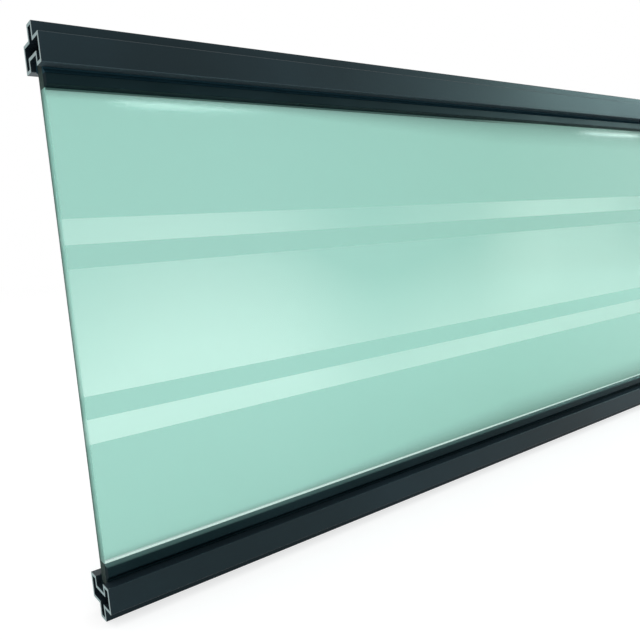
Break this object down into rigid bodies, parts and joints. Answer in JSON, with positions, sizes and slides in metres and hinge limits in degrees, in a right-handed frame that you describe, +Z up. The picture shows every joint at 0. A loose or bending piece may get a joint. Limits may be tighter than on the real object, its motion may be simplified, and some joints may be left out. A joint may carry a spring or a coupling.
{
  "type": "glass balustrade panel",
  "caption": "Tinted glass infill panel with lighter etched bands, held by dark gaskets between hollow tongued rails along its top and bottom edges that slot into boards or posts.",
  "frame": {"origin": "middle of the lower tongue's tip, which is the bottom centre of the whole panel", "axes": "+X along the panel's length, +Y from its front to its back, +Z up"},
  "size_m": [0.9, 0.027, 0.3],
  "materials": {
    "rail_coating": "anthracite powder coat, satin",
    "gasket_rubber": "matt black rubber",
    "tinted_glass": "green tinted glass with etched bands"
  },
  "bodies": {
    "root": {"bottom_rail": "rail_coating", "top_rail": "rail_coating", "bottom_gasket": "gasket_rubber", "top_gasket": "gasket_rubber", "glass_pane": "tinted_glass"}
  },
  "joints": []
}
